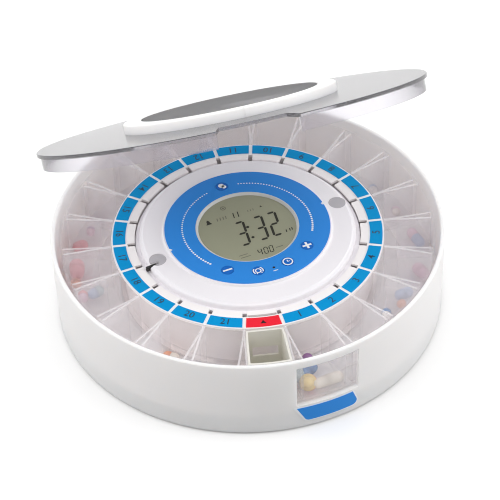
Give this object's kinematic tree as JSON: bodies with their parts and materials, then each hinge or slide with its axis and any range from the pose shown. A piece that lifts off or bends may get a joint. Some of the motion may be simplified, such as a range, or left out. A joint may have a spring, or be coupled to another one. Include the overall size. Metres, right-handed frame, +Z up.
{
  "type": "automatic pill dispenser",
  "caption": "Round automatic pill dispenser: hinged clear lid, motor-driven ring of dose pockets round a fixed control panel with display and keys, and a window in the wall.",
  "frame": {"origin": "on the axis of the tub, in the plane that the feet stand on", "axes": "+Z up, the lid's hinge at the back (+Y), the wall window near the front (-Y), +X to the right seen from the front"},
  "size_m": [0.22, 0.2229, 0.1814],
  "materials": {
    "white_shell": "satin",
    "cover_white": "fine texture",
    "clear_plastic": "polished clear",
    "divider_plastic": "translucent",
    "smoked_lens": "polished, tinted",
    "home_grey": "satin",
    "label_blue": "printed film",
    "label_red": "printed film",
    "panel_blue": "printed film",
    "key_blue": "satin rubber-like",
    "bezel_white": "satin",
    "display_grey": "polished",
    "cap_grey": "satin",
    "dark_plastic": "matte",
    "board_green": "solder mask",
    "rubber": "matte",
    "screw_steel": "zinc plated",
    "pin_steel": "ground",
    "motor_can": "plated",
    "gear_nylon": "matte",
    "chassis_black": "matte",
    "cell_wrap": "printed sleeve, left plain"
  },
  "bodies": {
    "base": {"base_tub": "white_shell", "wall_window": "clear_plastic", "window_badge": "label_blue", "bottom_cover": "cover_white", "rubber_feet": "rubber", "cover_screws": "screw_steel", "battery_door": "cover_white", "door_screw": "screw_steel", "battery_cells": "cell_wrap", "battery_contacts": "pin_steel", "gear_chassis": "chassis_black", "gear_posts": "pin_steel", "motor": "motor_can", "motor_screws": "screw_steel", "control_housing": "white_shell", "housing_screws": "screw_steel", "panel_overlay": "panel_blue", "display_bezel": "bezel_white", "display_glass": "display_grey", "display_module": "dark_plastic", "dimple_caps": "cap_grey", "main_board": "board_green", "board_screws": "screw_steel", "key_switches": "dark_plastic", "buzzer": "dark_plastic", "index_sensor": "dark_plastic", "hinge_pin": "pin_steel"},
    "tray": {"tray_carrier": "white_shell", "tray_trough": "clear_plastic", "tray_dividers": "divider_plastic", "number_labels": "label_blue", "home_label": "label_red", "home_cup": "home_grey"},
    "drive": {"drive_gear": "gear_nylon"},
    "step": {"step_gear": "gear_nylon"},
    "motor_rotor": {"motor_pinion": "gear_nylon", "motor_shaft": "pin_steel"},
    "lid": {"lid_shell": "clear_plastic", "lid_drum": "white_shell", "lid_lens": "smoked_lens"},
    "key_minus_body": {"key_minus": "key_blue"},
    "key_alarm_body": {"key_alarm": "key_blue"},
    "key_clock_body": {"key_clock": "key_blue"},
    "key_plus_body": {"key_plus": "key_blue"},
    "key_mode_body": {"key_mode": "key_blue"}
  },
  "joints": [
    {"name": "tray_spin", "type": "hinge", "parent": "base", "child": "tray", "pos_m": [0, 0, 0.0318], "axis": [0, 0, 1], "continuous": true},
    {"name": "drive_turn", "type": "hinge", "parent": "base", "child": "drive", "pos_m": [-0.054, 0, 0.0268], "axis": [0, 0, 1], "continuous": true},
    {"name": "step_turn", "type": "hinge", "parent": "base", "child": "step", "pos_m": [-0.027, 0, 0.0288], "axis": [0, 0, 1], "continuous": true},
    {"name": "motor_turn", "type": "hinge", "parent": "base", "child": "motor_rotor", "pos_m": [-0.02944, 0.02789, 0.0325], "axis": [0, 0, 1], "continuous": true},
    {"name": "lid_hinge", "type": "hinge", "parent": "base", "child": "lid", "pos_m": [0, 0.1097, 0.0511], "axis": [-1, 0, 0], "range_deg": [-36, 58]},
    {"name": "press_minus", "type": "slide", "parent": "base", "child": "key_minus_body", "axis": [0, 0, -1], "range_m": [0, 0.0004], "stiffness_N_per_m": 400},
    {"name": "press_alarm", "type": "slide", "parent": "base", "child": "key_alarm_body", "axis": [0, 0, -1], "range_m": [0, 0.0004], "stiffness_N_per_m": 400},
    {"name": "press_clock", "type": "slide", "parent": "base", "child": "key_clock_body", "axis": [0, 0, -1], "range_m": [0, 0.0004], "stiffness_N_per_m": 400},
    {"name": "press_plus", "type": "slide", "parent": "base", "child": "key_plus_body", "axis": [0, 0, -1], "range_m": [0, 0.0004], "stiffness_N_per_m": 400},
    {"name": "press_mode", "type": "slide", "parent": "base", "child": "key_mode_body", "axis": [0, 0, -1], "range_m": [0, 0.0004], "stiffness_N_per_m": 400}
  ],
  "couplings": [
    {"joint": "drive_turn", "follows": "tray_spin", "ratio": 5.5},
    {"joint": "step_turn", "follows": "tray_spin", "ratio": -4.4},
    {"joint": "motor_turn", "follows": "tray_spin", "ratio": 16.133}
  ]
}
